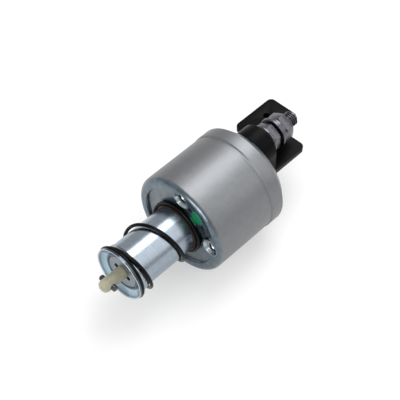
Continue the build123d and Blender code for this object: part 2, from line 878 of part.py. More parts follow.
pieces = [
    case.part,
    guide_sleeve.part,
    front_insulator.part,
    bobbin.part,
    pull_in_winding.part,
    hold_in_winding.part,
    fixed_core.part,
    plunger.part,
    spring_cup.part,
    return_spring.part,
    pull_rod.part,
    cross_pin.part,
    meshing_spring_washer.part,
    meshing_spring.part,
    contact_rod.part,
    contact_pressure_spring.part,
    contact_bush.part,
    contact_disc.part,
    retaining_clip.part,
    contact_return_spring.part,
    cap_seal.part,
    terminal_cap.part,
    battery_stud,
    motor_stud,
    stud_seals,
    boss_washers,
    cable_washers,
    jam_nuts,
    terminal_nuts,
    spring_washers.part,
    trigger_terminal.part,
    hold_in_lead,
    pull_in_lead,
]
for piece in pieces:
    export_step(piece, f"parts/{piece.label}.step")
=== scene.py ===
# %% [markdown]
# # A starter solenoid
#
# A starter solenoid is an electric switch and a magnet in one can. The windings pull a steel plunger
# in, the plunger's pull rod swings the fork that meshes the starter's pinion, and a copper disc inside
# the cap joins the two terminal studs.
#
# The solids come from the CAD frame, already at their places, in metres. This lesson gives each of them
# a finish, and models again the pieces whose real surface has more in it than the CAD solid: the coiled
# springs, the threads, the turned and pressed edges and the moulded cap.

# %% Load the frame
import json
from math import cos, hypot, pi, radians, sin

import bpy
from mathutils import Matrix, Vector


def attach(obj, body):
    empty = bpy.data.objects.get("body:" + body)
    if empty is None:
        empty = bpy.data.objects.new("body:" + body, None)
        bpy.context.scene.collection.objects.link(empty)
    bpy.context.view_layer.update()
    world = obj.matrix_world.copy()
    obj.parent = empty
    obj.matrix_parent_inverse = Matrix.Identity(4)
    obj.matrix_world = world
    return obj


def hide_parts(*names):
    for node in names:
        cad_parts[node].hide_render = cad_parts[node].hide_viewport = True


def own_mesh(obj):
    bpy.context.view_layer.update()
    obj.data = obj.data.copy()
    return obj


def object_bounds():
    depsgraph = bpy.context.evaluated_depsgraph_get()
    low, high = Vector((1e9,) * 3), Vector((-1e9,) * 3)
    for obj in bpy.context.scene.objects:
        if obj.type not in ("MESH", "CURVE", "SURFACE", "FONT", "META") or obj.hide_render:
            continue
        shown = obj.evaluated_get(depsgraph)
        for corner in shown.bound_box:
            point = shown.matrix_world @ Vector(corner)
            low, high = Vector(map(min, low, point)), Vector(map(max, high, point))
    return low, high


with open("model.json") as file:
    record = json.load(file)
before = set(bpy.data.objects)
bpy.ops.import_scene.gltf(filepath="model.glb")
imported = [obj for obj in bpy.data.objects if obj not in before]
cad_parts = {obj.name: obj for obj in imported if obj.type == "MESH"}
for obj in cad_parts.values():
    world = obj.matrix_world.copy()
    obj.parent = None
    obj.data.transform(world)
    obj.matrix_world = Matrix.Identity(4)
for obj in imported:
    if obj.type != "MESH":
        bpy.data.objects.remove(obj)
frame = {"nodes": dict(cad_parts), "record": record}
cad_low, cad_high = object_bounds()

MM = 0.001
# Times this, a point loses its X and keeps its place round the solenoid's axis.
across_x = (0.0, 1.0, 1.0)
print("CAD solids:", len(frame["nodes"]))

# %% [markdown]
# ## Colours and nodes
#
# A colour is picked on a screen as an sRGB hex value, but a shader works with linear light. One
# function turns the first into the second, and one small function adds a node with its settings and
# links, so that each finish below reads as a list of what the surface is made of.

# %% Colour and node helpers
def linear(code):
    """The linear colour of an sRGB hex value."""
    channels = [int(code[i : i + 2], 16) / 255 for i in (1, 3, 5)]
    return [c / 12.92 if c <= 0.04045 else ((c + 0.055) / 1.055) ** 2.4 for c in channels] + [1.0]


def add(tree, kind, inputs=(), **settings):
    """Adds a node. Each input is a socket's name or number, with a value or another node's output."""
    made = tree.nodes.new(kind)
    for name, value in settings.items():
        setattr(made, name, value)
    for name, value in dict(inputs).items():
        if isinstance(value, bpy.types.NodeSocket):
            tree.links.new(value, made.inputs[name])
        else:
            made.inputs[name].default_value = value
    return made


def maths(tree, operation, *values, **settings):
    """The result of a Math node."""
    return add(tree, "ShaderNodeMath", dict(enumerate(values)), operation=operation, **settings).outputs[0]


def vectors(tree, operation, *values):
    """The results of a Vector Math node: Vector, or Value for a length or a distance."""
    return add(tree, "ShaderNodeVectorMath", dict(enumerate(values)), operation=operation).outputs


def mapped(tree, value, low, high, to_low=0.0, to_high=1.0):
    """Maps the values from low to high to another range, and holds its ends."""
    inputs = {"Value": value, "From Min": low, "From Max": high, "To Min": to_low, "To Max": to_high}
    return add(tree, "ShaderNodeMapRange", inputs).outputs["Result"]


def blended(tree, share, first, second):
    """A mix of two colours, each an output or a hex value: the first where the share is 0."""
    first, second = (linear(colour) if isinstance(colour, str) else colour for colour in (first, second))
    return add(tree, "ShaderNodeMix", {0: share, 6: first, 7: second}, data_type="RGBA").outputs[2]


def varied(tree, share, first, second):
    """A mix of two values: the first where the share is 0."""
    return add(tree, "ShaderNodeMix", {0: share, 2: first, 3: second}).outputs[0]


def ramp(tree, factor, stops):
    """A colour ramp through (place, hex) stops."""
    made = add(tree, "ShaderNodeValToRGB", {"Fac": factor})
    elements = made.color_ramp.elements
    for _ in stops[2:]:
        elements.new(0.5)
    for element, (place, code) in zip(elements, stops):
        element.position = place
        element.color = linear(code)
    return made.outputs["Color"]


def blank(name):
    """A new material with an empty tree, and the point of the surface in metres."""
    material = bpy.data.materials.new(name)
    material.use_nodes = True
    material.node_tree.nodes.clear()
    point = add(material.node_tree, "ShaderNodeTexCoord").outputs["Object"]
    return material, material.node_tree, point


def shade(material, base, roughness, normal=None, **values):
    """The shader and the output of a material; constants go on the shader's own sockets."""
    tree = material.node_tree
    inputs = {"Base Color": base, "Roughness": roughness}
    if normal is not None:
        inputs["Normal"] = normal
    inputs.update({name.replace("_", " ").title().replace("Ior", "IOR"): v for name, v in values.items()})
    shader = add(tree, "ShaderNodeBsdfPrincipled", inputs)
    add(tree, "ShaderNodeOutputMaterial", {"Surface": shader.outputs["BSDF"]})
    return material


def grain(tree, point, per_mm, detail=3.0, rough=0.55):
    """Noise with its own number of grains a millimetre along X, Y and Z."""
    scaled = add(tree, "ShaderNodeMapping", {"Vector": point, "Scale": [n / MM for n in per_mm]})
    inputs = {"Vector": scaled.outputs["Vector"], "Scale": 1.0, "Detail": detail, "Roughness": rough}
    return add(tree, "ShaderNodeTexNoise", inputs).outputs["Fac"]


def averaged(tree, first, second):
    """The mean of two patterns."""
    return maths(tree, "MULTIPLY", maths(tree, "ADD", first, second), 0.5)


def off_axis(tree, point):
    """Distance of the surface from the solenoid's axis, in metres."""
    return vectors(tree, "LENGTH", vectors(tree, "MULTIPLY", point, across_x)["Vector"])["Value"]


def between(tree, factor, low, high):
    """Maps noise, which stays near the middle of its range, to values from low to high."""
    return mapped(tree, factor, 0.3, 0.7, low, high)


def bumped(tree, height, depth_mm):
    """A normal from a height pattern of a real depth."""
    inputs = {"Height": height, "Distance": depth_mm * MM, "Strength": 1.0}
    return add(tree, "ShaderNodeBump", inputs).outputs["Normal"]


# %% [markdown]
# ## Plated and bare steel
#
# Most of the solenoid is mild steel with a thin zinc coat. The can is deep drawn, and plating leaves it
# satin with a fine mottle. The plunger is turned and plated bright, so its fine lines go round it. The cup
# and the front face have a blue passivation. All are metals: metallic 1, the default IOR, and a roughness
# between 0.18 and 0.48 that the tool marks and the crystals of zinc vary.

# %% Metal finishes
finishes = {}
tone_low, tone_high = 0.38, 0.62
soft_low, soft_high = 0.35, 0.65


def metal(slot, name, tones, marks, depth, rough, spots=0.35):
    """A metal: two tones in soft spots, tool marks of a direction and depth, and their roughness."""
    material, tree, point = blank(name)
    soft = grain(tree, point, [spots] * 3, detail=4.0)
    lines = grain(tree, point, marks, detail=2.0)
    half = averaged(tree, soft, lines)
    base = ramp(tree, half, [(tone_low, tones[0]), (tone_high, tones[1])])
    normal = bumped(tree, lines, depth)
    finishes[slot] = shade(material, base, between(tree, half, *rough), normal, metallic=1.0)


# Marks a millimetre along X, Y and Z: a turned piece has many along X, and they run all round it.
turning = (6.0, 0.05, 0.05)
crystals = (1.6, 1.6, 1.6)
winding = (2.2, 0.2, 0.2)
metal("bright_zinc", "bright zinc on turned steel", ("#8e99a3", "#9ba5af"), turning, 0.0012, (0.2, 0.26))
metal("grey_zinc", "dull zinc on steel hardware", ("#58575d", "#6b6a70"), crystals, 0.003, (0.24, 0.34), 1.0)
metal("pin_steel", "ground steel", ("#4c4c4e", "#5f5f61"), (4.0, 0.5, 4.0), 0.0015, (0.22, 0.3))
metal("bare_steel", "bare turned steel", ("#83847f", "#9a9b98"), (5.0, 0.3, 0.3), 0.002, (0.28, 0.38))
metal("bare_spring", "drawn spring wire", ("#6f7072", "#8a8b8d"), (2.0, 2.0, 2.0), 0.002, (0.3, 0.4))
metal("brass", "tarnished brass", ("#3a2a1c", "#5c432c"), (5.0, 0.4, 0.4), 0.002, (0.32, 0.45))
metal("bare_copper", "bare copper", ("#a8674a", "#c07d5d"), (4.0, 0.5, 0.5), 0.002, (0.28, 0.38))
metal("enamelled_copper", "enamelled copper wire", ("#7a3d1e", "#94512c"), winding, 0.02, (0.25, 0.32))
metal("tinned_brass", "tinned brass", ("#a9aaa5", "#bfc0bb"), (3.0, 3.0, 3.0), 0.0015, (0.25, 0.33))
print("metals:", len(finishes))

# %% [markdown]
# ## The can
#
# The can is one pressing, but it doesn't look the same all over: its side is satin and neutral with the
# fine mottle of rolled sheet, while its front end was coined, so it is smoother and shows the blue of the
# passivation. X tells the two apart. The faces of its three bosses are machined, and a painted highlight
# makes them lighter. Their tapped holes are darkened with painted shade. The distance from the nearest
# hole's axis tells where. A dab of green paint on the front end is the inspector's mark: a dielectric on
# the metal, so metallic falls to 0 there.

# %% The can's finish
paint_angle, paint_r, paint_size = 127.0, 19.0, (3.0, 4.6, 5.4)
paint_edge = (1.35, 1.5)
thread_r, thread_angles = 21.6, (95.5, 176.0, 315.75)
hole_shade_edge = (2.55, 2.75)
boss_place_r, boss_r = 20.4, 4.9
boss_highlight_edge = (boss_r - 0.4, boss_r)
coined_end, drawn_start = 1.0, 2.8


def on_circle(radius, angle):
    """Y and Z, in millimetres, of a place on a circle round the solenoid's axis."""
    return radius * cos(radians(angle)), radius * sin(radians(angle))


def off_axes(tree, point, radius, low, high):
    """0 near the three axes on a circle, 1 away from them, with the change from low to high in mm."""
    flat = vectors(tree, "MULTIPLY", point, across_x)["Vector"]
    nearest = 1.0
    for angle in thread_angles:
        centre = Vector((0.0, *on_circle(radius, angle))) * MM
        reach = vectors(tree, "DISTANCE", flat, centre)["Value"]
        nearest = maths(tree, "MINIMUM", nearest, reach)
    return mapped(tree, nearest, low * MM, high * MM)


def paint_mark(tree, point, mottle):
    """1 on the dab of paint on the front end, 0 off it, with a ragged edge."""
    place = (0.0, *on_circle(paint_r, paint_angle))
    inputs = {
        "Vector": point,
        "Location": [-p / size for p, size in zip(place, paint_size)],
        "Scale": [1 / (size * MM) for size in paint_size],
    }
    centred = add(tree, "ShaderNodeMapping", inputs).outputs["Vector"]
    ragged = maths(tree, "ADD", vectors(tree, "LENGTH", centred)["Value"], mottle)
    return mapped(tree, ragged, *paint_edge, 1.0, 0.0)


def can_finish():
    """Zinc on pressed steel: side, front end, boss faces with a painted highlight, tapped holes with painted
    shade, and a paint mark.
    """
    material, tree, point = blank("satin zinc plated steel")
    soft = grain(tree, point, [0.3] * 3, detail=4.0)
    mottle = grain(tree, point, (1.2, 2.4, 2.4), detail=4.0, rough=0.65)
    side = ramp(tree, averaged(tree, soft, mottle), [(soft_low, "#7b7d80"), (soft_high, "#838587")])
    floor_tone = ramp(tree, soft, [(soft_low, "#5b6870"), (soft_high, "#6e7a82")])
    off_boss_highlight = off_axes(tree, point, boss_place_r, *boss_highlight_edge)
    # Near the boss axes the front end is painted lighter: a painted highlight.
    front = blended(tree, off_boss_highlight, "#a3adb1", floor_tone)
    along = add(tree, "ShaderNodeSeparateXYZ", {"Vector": point}).outputs["X"]
    drawn = mapped(tree, along, coined_end * MM, drawn_start * MM)
    off_hole_shade = off_axes(tree, point, thread_r, *hole_shade_edge)
    # Inside the tapped holes the colour is a painted shade, near black.
    zinc = blended(tree, off_hole_shade, "#141516", blended(tree, drawn, front, side))
    paint = paint_mark(tree, point, mottle)
    base = blended(tree, paint, zinc, "#0d7a4d")
    bare = maths(tree, "SUBTRACT", 1.0, paint)
    rough = varied(tree, drawn, 0.2, between(tree, mottle, 0.44, 0.48))
    finishes["zinc_steel"] = shade(material, base, rough, bumped(tree, mottle, 0.0015), metallic=bare)
    print("the can:", material.name)


can_finish()

# %% [markdown]
# ## The cup's finish
#
# The cup's blue passivation gets rings of tone from the distance from the axis: dull grey on the flat
# floor, painted shade in the bead's valley, blue with painted light in the bowl, a ring of painted shade
# and then a painted highlight at the rolled rim, and painted shade on the rim's back.
# Behind the floor, on the skirt, it is worn to silver.

# %% Rings of tone
ring_low, ring_high = 8.0, 14.3
skirt_x, rim_x = (-36.3, -35.9), (-39.3, -39.15)
rim_share, dull_share = (0.97, 0.99), (0.1, 0.3)


def cup_finish():
    """Blue passivation with rings of painted shade, painted light and a painted highlight, and a staked skirt
    worn to silver.
    """
    material, tree, point = blank("blue passivated zinc")
    share = mapped(tree, off_axis(tree, point), ring_low * MM, ring_high * MM)
    # The dark stops at the bead's valley and before the rim are painted shade, the light stops in the bowl
    # are painted light, and the bright stop at the rim is a painted highlight.
    rings = [
        (0.1, "#8b9298"),
        (0.2, "#54656f"),
        (0.34, "#5b6e79"),
        (0.48, "#a6bac5"),
        (0.72, "#93acba"),
        (0.86, "#607682"),
        (0.94, "#d4d8db"),
    ]
    pressed = ramp(tree, share, rings)
    along = add(tree, "ShaderNodeSeparateXYZ", {"Vector": point}).outputs["X"]
    behind = mapped(tree, along, *(x * MM for x in skirt_x))
    bowl = blended(tree, behind, pressed, "#9aa3ab")
    past_rim = mapped(tree, along, *(x * MM for x in rim_x))
    outer = mapped(tree, share, *rim_share)
    # Painted shade on the back of the rolled rim.
    base = blended(tree, maths(tree, "MULTIPLY", past_rim, outer), bowl, "#4f5c66")
    fine = grain(tree, point, (1.5, 1.5, 1.5), detail=3.0)
    rough = varied(tree, mapped(tree, share, *dull_share), between(tree, fine, 0.38, 0.46), 0.18)
    finishes["blue_zinc"] = shade(material, base, rough, metallic=1.0)
    print("the cup:", material.name)


cup_finish()

# %% [markdown]
# ## Plastics, rubber and painted wire
#
# These are dielectrics: metallic 0, an IOR near 1.5, and the finish comes from the mould or the coat.
# The cap is a glass filled phenolic moulding with a fine spark texture. The pull rod is natural nylon,
# which lets a little light in. The return spring is phosphated and oiled, so it is black with a soft
# shine.

# %% Plastic, rubber and painted finishes
def moulded(slot, name, tones, texture_mm, depth, rough, ior=1.5, **values):
    """A moulded or coated surface: two close tones and a texture of a grain size and depth."""
    material, tree, point = blank(name)
    fine = grain(tree, point, [1 / texture_mm] * 3, detail=3.0)
    soft = grain(tree, point, [0.15] * 3, detail=2.0)
    base = ramp(tree, soft, [(soft_low, tones[0]), (soft_high, tones[1])])
    normal = bumped(tree, fine, depth)
    finishes[slot] = shade(material, base, between(tree, fine, *rough), normal, ior=ior, **values)


moulded(
    "black_plastic",
    "black phenolic moulding",
    ("#050507", "#09090c"),
    0.35,
    0.004,
    (0.32, 0.4),
    specular_ior_level=0.055,
)
moulded("black_rubber", "nitrile rubber", ("#121212", "#1a1a1a"), 0.5, 0.01, (0.6, 0.75), 1.52)
moulded(
    "black_spring",
    "phosphated spring steel",
    ("#040404", "#08080a"),
    0.5,
    0.002,
    (0.2, 0.28),
    specular_ior_level=0.13,
)
moulded("fibre", "pressed fibre", ("#14110f", "#1d1916"), 0.8, 0.02, (0.6, 0.75))
moulded("bobbin_nylon", "glass filled nylon", ("#b5ab94", "#c4bba5"), 0.5, 0.008, (0.45, 0.55), 1.53)
moulded(
    "ivory_nylon",
    "natural nylon",
    ("#8f8c77", "#a3a08b"),
    0.9,
    0.01,
    (0.34, 0.44),
    1.53,
    subsurface_weight=0.12,
    subsurface_radius=(0.002, 0.0016, 0.001),
    subsurface_scale=1.0,
)
print("finishes:", sorted(finishes))

# %% Give each CAD solid its finish
for row in frame["record"]["subparts"]:
    node = frame["nodes"][row["node"]]
    for held in node.material_slots:
        held.material = finishes[row["material_slot"]]

# %% [markdown]
# ## Modelling helpers
#
# A turned piece is drawn as a lathe hand would draw it: half of its section, then spun about the axis.
# The section is traced by extruding one vertex from corner to corner.

# %% Trace, spin, round and fit
# Distances in metres within which points become one.
weld, copy_weld, seam = 1e-7, 1e-6, 2e-6


def only(piece):
    """Selects a piece alone and makes it the active one."""
    bpy.ops.object.select_all(action="DESELECT")
    piece.select_set(True)
    bpy.context.view_layer.objects.active = piece


def closed_up(threshold):
    """Merges points of the mesh in edit mode, turns its faces outwards and leaves edit mode."""
    bpy.ops.mesh.select_all(action="SELECT")
    bpy.ops.mesh.remove_doubles(threshold=threshold)
    bpy.ops.mesh.normals_make_consistent(inside=False)
    bpy.ops.object.mode_set(mode="OBJECT")


def traced(name, points, close=True):
    """A chain of edges through points in millimetres, left in edit mode with everything selected."""
    places = [Vector(p) * MM for p in points]
    if close:
        places.append(places[0])
    bpy.ops.object.select_all(action="DESELECT")
    bpy.ops.mesh.primitive_plane_add(size=MM)
    piece = bpy.context.object
    piece.name = piece.data.name = name
    bpy.ops.object.mode_set(mode="EDIT")
    bpy.ops.mesh.select_all(action="SELECT")
    bpy.ops.mesh.merge(type="CENTER")
    bpy.ops.transform.translate(value=places[0])
    for a, b in zip(places, places[1:]):
        bpy.ops.mesh.extrude_region_move(TRANSFORM_OT_translate={"value": b - a})
    bpy.ops.mesh.select_all(action="SELECT")
    bpy.ops.mesh.remove_doubles(threshold=weld)
    return piece


def turned(name, section, steps=96):
    """Spins a closed (x, radius) section, in millimetres, about the X axis."""
    piece = traced(name, [(x, 0.0, r) for x, r in section])
    bpy.ops.mesh.spin(steps=steps, angle=2 * pi, center=(0, 0, 0), axis=(1, 0, 0))
    closed_up(seam)
    return piece


def applied(piece, kind, **settings):
    """Adds a modifier to a piece and applies it."""
    only(piece)
    bpy.ops.object.modifier_add(type=kind)
    modifier = piece.modifiers[-1]
    for name, value in settings.items():
        setattr(modifier, name, value)
    bpy.ops.object.modifier_apply(modifier=modifier.name)


def cleaned(piece):
    """Merges points that all but touch, closes holes and turns the faces outwards."""
    only(piece)
    bpy.ops.object.mode_set(mode="EDIT")
    bpy.ops.mesh.select_all(action="SELECT")
    bpy.ops.mesh.remove_doubles(threshold=seam)
    bpy.ops.mesh.dissolve_degenerate(threshold=seam)
    bpy.ops.mesh.select_all(action="SELECT")
    bpy.ops.mesh.fill_holes(sides=0)
    bpy.ops.mesh.select_all(action="SELECT")
    bpy.ops.mesh.normals_make_consistent(inside=False)
    bpy.ops.object.mode_set(mode="OBJECT")


def rounded(piece, radius_mm, segments=3, angle=32.0):
    """Rounds the edges that are sharper than an angle."""
    applied(
        piece,
        "BEVEL",
        width=radius_mm * MM,
        segments=segments,
        limit_method="ANGLE",
        angle_limit=radians(angle),
    )


def fitted(piece, body, slot, *nodes, angle=35.0):
    """Shades a finished piece, gives it its finish, and lets it ride in place of its CAD solids."""
    only(piece)
    bpy.ops.object.transform_apply(location=True, rotation=True, scale=True)
    bpy.ops.object.shade_smooth_by_angle(angle=radians(angle))
    piece.data.materials.clear()
    piece.data.materials.append(finishes[slot])
    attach(piece, body)
    if nodes:
        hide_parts(*nodes)
    print(piece.name, len(piece.data.polygons), "faces")
    return piece


# %% [markdown]
# ## Edges that catch the light
#
# No pressed, moulded or machined edge is a knife edge, and the thin highlight on it is what tells the eye
# how the piece was made. A copy of the CAD solid is merged, the triangles on its flats are joined, and a
# bevel rounds what is sharper than an angle: 0.5 mm on the moulded cap, 0.35 mm on the washers and
# 0.15 mm on the nuts.

# %% Round the edges of a copy
flat_angle = 0.4


def merged(node):
    """A copy of a CAD solid, merged, with the triangles on its flats joined."""
    piece = bpy.data.objects.new(node + "_rounded", frame["nodes"][node].data.copy())
    bpy.context.collection.objects.link(piece)
    only(piece)
    bpy.ops.object.mode_set(mode="EDIT")
    bpy.ops.mesh.select_all(action="SELECT")
    bpy.ops.mesh.remove_doubles(threshold=copy_weld)
    bpy.ops.mesh.dissolve_limited(angle_limit=radians(flat_angle))
    bpy.ops.object.mode_set(mode="OBJECT")
    return piece


def softened(node, body, slot, radius_mm, segments=3, sharp=34.0):
    """A copy of a CAD solid with rounded edges, standing in for it."""
    piece = merged(node)
    rounded(piece, radius_mm, segments, sharp)
    return fitted(piece, body, slot, node)


softened("terminal_cap", "housing", "black_plastic", 0.5)
softened("jam_nuts", "housing", "grey_zinc", 0.15, segments=2)
for node in ("boss_washers", "cable_washers", "spring_washers"):
    softened(node, "housing", "grey_zinc", 0.35)
softened("cross_pin", "pull_rod", "pin_steel", 0.12, segments=2)

# %% Bars, blocks and cuts
def bar(place, radius, length, vertices=48, turn=(0, 0, 0)):
    """A round bar along Z before its turn, with its middle at a place, in millimetres and degrees."""
    bpy.ops.object.select_all(action="DESELECT")
    bpy.ops.mesh.primitive_cylinder_add(
        vertices=vertices,
        radius=radius * MM,
        depth=length * MM,
        location=[p * MM for p in place],
        rotation=[radians(t) for t in turn],
    )
    made = bpy.context.object
    bpy.ops.object.transform_apply(location=True, rotation=True, scale=True)
    return made


def block(x, size, turn=0.0):
    """A block on the axis with its middle at x, in millimetres, turned about the axis by degrees."""
    bpy.ops.object.select_all(action="DESELECT")
    bpy.ops.mesh.primitive_cube_add(size=1.0, location=(x * MM, 0, 0), rotation=(radians(turn), 0, 0))
    made = bpy.context.object
    made.scale = [length * MM for length in size]
    bpy.ops.object.transform_apply(location=True, rotation=True, scale=True)
    return made


def cut(piece, tool):
    """Takes a tool's shape out of a piece."""
    applied(piece, "BOOLEAN", operation="DIFFERENCE", object=tool, solver="EXACT")
    bpy.data.objects.remove(tool)


# %% The can, with its front end pressed in round the three thread bosses
press_depth, press_in_r, press_out_r = 1.4, 15.1, 21.3
over = 1.0
press_section = [
    (-over, press_in_r),
    (press_depth, press_in_r),
    (press_depth, press_out_r),
    (-over, press_out_r),
]
press = turned("press", press_section)
for angle in thread_angles:
    place = (press_depth / 2, *on_circle(boss_place_r, angle))
    cut(press, bar(place, boss_r, press_depth + 4 * over, vertices=96, turn=(0, 90, 0)))
can = merged("case")
cut(can, press)
rounded(can, 0.65, segments=4, angle=25.0)
fitted(can, "housing", "zinc_steel", "case")

# %% The web that closes the divider's tie hole at its lower side
web_t, divider_t = 0.6, 3.0
tie_x, tie_y, tie_r = 82.3, 17.0, 1.9
web = bar((tie_x, tie_y, (web_t - divider_t) / 2), tie_r, web_t)
web.name = "tie_hole_web"
rounded(web, 0.1, segments=2)
fitted(web, "housing", "black_plastic")

# %% The outer nuts, which are thinner than standard ones
nut_seat, nut_t, standard_nut_t = 70.3, 5.0, 6.5
nut_share = nut_t / standard_nut_t
outer_nuts = softened("terminal_nuts", "housing", "grey_zinc", 0.15, segments=2)
for vertex in outer_nuts.data.vertices:
    vertex.co.x = (nut_seat + (vertex.co.x / MM - nut_seat) * nut_share) * MM

# %% [markdown]
# ## Terminal studs
#
# The studs are M8 with a rolled thread of 1.25 mm pitch. A thread is one section of the groove, swept
# along a helix: the Screw modifier does just that. The ends are then cut square with Bisect, and the
# crests are turned down to a cone at the tip, as a die leaves them. The shank and the square head under
# the cap join it.

# %% Cut a thread
def wound(piece, pitch_mm, turns):
    """Sweeps a section along a helix about X."""
    applied(piece, "SCREW", axis="X", screw_offset=pitch_mm * MM, iterations=turns, steps=36, render_steps=36)


# %% The two studs
stud_place_r, stud_r, stud_tip = 13.0, 4.0, 82.3
pitch, depth_share, tip_chamfer = 1.25, 0.61, 1.0
head_x, head_t, head_w, head_edge = 50.75, 3.9, 12.0, 0.5
thread_start = 60.0


def threaded(name, start, end, crest_r, chamfer):
    """A rod along X with an outside thread and a coned tip, in millimetres."""
    root_r = crest_r - depth_share * pitch
    first = start - pitch
    groove = [(0, root_r), (1 / 4, root_r), (9 / 16, crest_r), (11 / 16, crest_r), (1, root_r)]
    piece = traced(name, [(first + pitch * share, 0.0, r) for share, r in groove], close=False)
    bpy.ops.object.mode_set(mode="OBJECT")
    wound(piece, pitch, round((end - first) / pitch) + 1)
    for vertex in piece.data.vertices:
        limit = crest_r * MM - max(vertex.co.x - (end - chamfer) * MM, 0.0)
        away = hypot(vertex.co.y, vertex.co.z)
        if away > limit:
            vertex.co.yz *= limit / away
    bpy.ops.object.mode_set(mode="EDIT")
    bpy.ops.mesh.select_all(action="SELECT")
    bpy.ops.mesh.remove_doubles(threshold=weld)
    for x, ahead in ((start, -1), (end, 1)):
        bpy.ops.mesh.select_all(action="SELECT")
        bpy.ops.mesh.bisect(plane_co=(x * MM, 0, 0), plane_no=(ahead, 0, 0), use_fill=True, clear_outer=True)
    bpy.ops.object.mode_set(mode="OBJECT")
    cleaned(piece)
    return piece


def terminal_stud(node, angle):
    """Thread, shank and square head at an angle round the solenoid."""
    thread = threaded(node + "_threaded", thread_start, stud_tip, stud_r, tip_chamfer)
    shank_x = head_x + head_t / 2
    shank = turned("shank", [(shank_x, 0), (shank_x, stud_r), (thread_start, stud_r), (thread_start, 0)], 48)
    head = block(shank_x, (head_t, head_w, head_w))
    rounded(head, head_edge)
    for piece in (thread, shank, head):
        piece.select_set(True)
    bpy.context.view_layer.objects.active = thread
    bpy.ops.object.join()
    y, z = on_circle(stud_place_r, angle)
    thread.rotation_euler.x = radians(angle - 90)
    thread.location = (0, y * MM, z * MM)
    fitted(thread, "housing", "grey_zinc", node)


terminal_stud("battery_stud", 90.0)
terminal_stud("motor_stud", 295.0)

# %% [markdown]
# ## Spring cup and pull rod
#
# The cup is pressed from one disc of sheet: a flat floor, a bead pressed round it, and a wall that rises
# in a bowl to the rolled rim. Its skirt is staked into a groove of the plunger. The pull rod is a
# moulding with a domed end, thinner outside the plunger than in its guide.

# %% A curve for sections
def bow(start, pull, end, steps=10):
    """Points of a curve from start to end that leans towards a third point."""
    shares = [i / steps for i in range(steps + 1)]
    return [
        tuple((1 - t) ** 2 * a + 2 * t * (1 - t) * b + t * t * c for a, b, c in zip(start, pull, end))
        for t in shares
    ]


# %% The cup
cup_floor, cup_rim, cup_r, cup_back, rim_edge = -37.0, -39.4, 14.3, -38.2, 0.2
skirt_in, skirt_out, skirt_end = 12.38, 12.83, -33.0
stake, stake_half, stake_depth = -34.3, 0.5, 0.3
plunger_front, hole_r = -36.0, 3.4
bead_x = -36.7
bead = [(cup_floor, 8.6), (bead_x, 8.8), (bead_x, 9.05)]
bead += bow((-36.9, 9.15), (-38.0, 9.65), (-36.6, 10.2), 10)
wall = bow((-36.5, 10.3), (-37.25, 11.8), (-39.3, 13.95), 14)
rim = bow((cup_rim, 14.05), (cup_rim, cup_r), (cup_rim + rim_edge, cup_r), 4)
staked = [
    (cup_back, cup_r),
    (cup_back, skirt_out),
    (stake - stake_half, skirt_out),
    (stake - stake_half / 2, skirt_out - stake_depth),
    (stake + stake_half / 2, skirt_out - stake_depth),
    (stake + stake_half, skirt_out),
    (skirt_end, skirt_out),
    (skirt_end, skirt_in),
    (plunger_front, skirt_in),
    (plunger_front, hole_r),
    (cup_floor, hole_r),
]
cup = turned("cup_pressed", bead + wall + rim + staked, 128)
notch_size, notch_turn = (4.0, 10.4, 2.8), 21.6
notch = block(cup_floor, notch_size, notch_turn)
rounded(notch, 0.4)
cut(cup, notch)
fitted(cup, "plunger", "blue_zinc", "spring_cup", angle=40.0)

# %% The pull rod
rod_tip, rod_neck_r, rod_r, rod_guide_r, dome = -50.5, 3.25, 3.6, 7.12, 2.9
neck_end, thick_start, guide_front, rod_back = -30.5, -30.0, -4.05, -0.05
pin_x, pin_hole_r, past_both_sides = -45.8, 1.53, 20.0
rod_section = bow((rod_tip, 0.0), (rod_tip, rod_neck_r), (rod_tip + dome, rod_neck_r), 12) + [
    (neck_end, rod_neck_r),
    (thick_start, rod_r),
    (guide_front, rod_r),
    (guide_front, rod_guide_r),
    (rod_back, rod_guide_r),
    (rod_back, 0.0),
]
rod = turned("rod_moulded", rod_section, 64)
cut(rod, bar((pin_x, 0, 0), pin_hole_r, past_both_sides, turn=(90, 0, 0)))
rounded(rod, 0.25, segments=2, angle=50.0)
cleaned(rod)
fitted(rod, "pull_rod", "ivory_nylon", "pull_rod", angle=40.0)

# %% [markdown]
# ## Threads in the mounting holes
#
# The CAD's holes are plain cylinders. Of their M6 threads only the crests stand out of the wall: a
# triangle with its base just inside the wall, swept along the helix for five turns.

# %% The three threads
tap_core_r, tap_pitch, tap_turns = 2.5, 1.0, 5
tap_start, tap_crest_x, tap_end = 1.6, 2.1, 2.55
tap_base_r, tap_crest_r = tap_core_r + 0.05, tap_core_r - 0.5
for number, angle in enumerate(thread_angles, start=1):
    y, z = on_circle(thread_r, angle)
    triangle = [(tap_start, 0.0, tap_base_r), (tap_crest_x, 0.0, tap_crest_r), (tap_end, 0.0, tap_base_r)]
    crest = traced(f"mount_thread_{number}", triangle)
    bpy.ops.object.mode_set(mode="OBJECT")
    wound(crest, tap_pitch, tap_turns)
    cleaned(crest)
    crest.location = (0, y * MM, z * MM)
    fitted(crest, "housing", "bright_zinc")

# %% [markdown]
# ## Coiled springs
#
# A compression spring is wire wound on a mandrel. Its end coils lie closed, so that it sits square, and
# the coils between are open. A curve that follows the wire, with a round bevel as thick as the wire,
# gives that in one go, and is then turned into a mesh.

# %% Wind a spring
seat_gap = 0.03


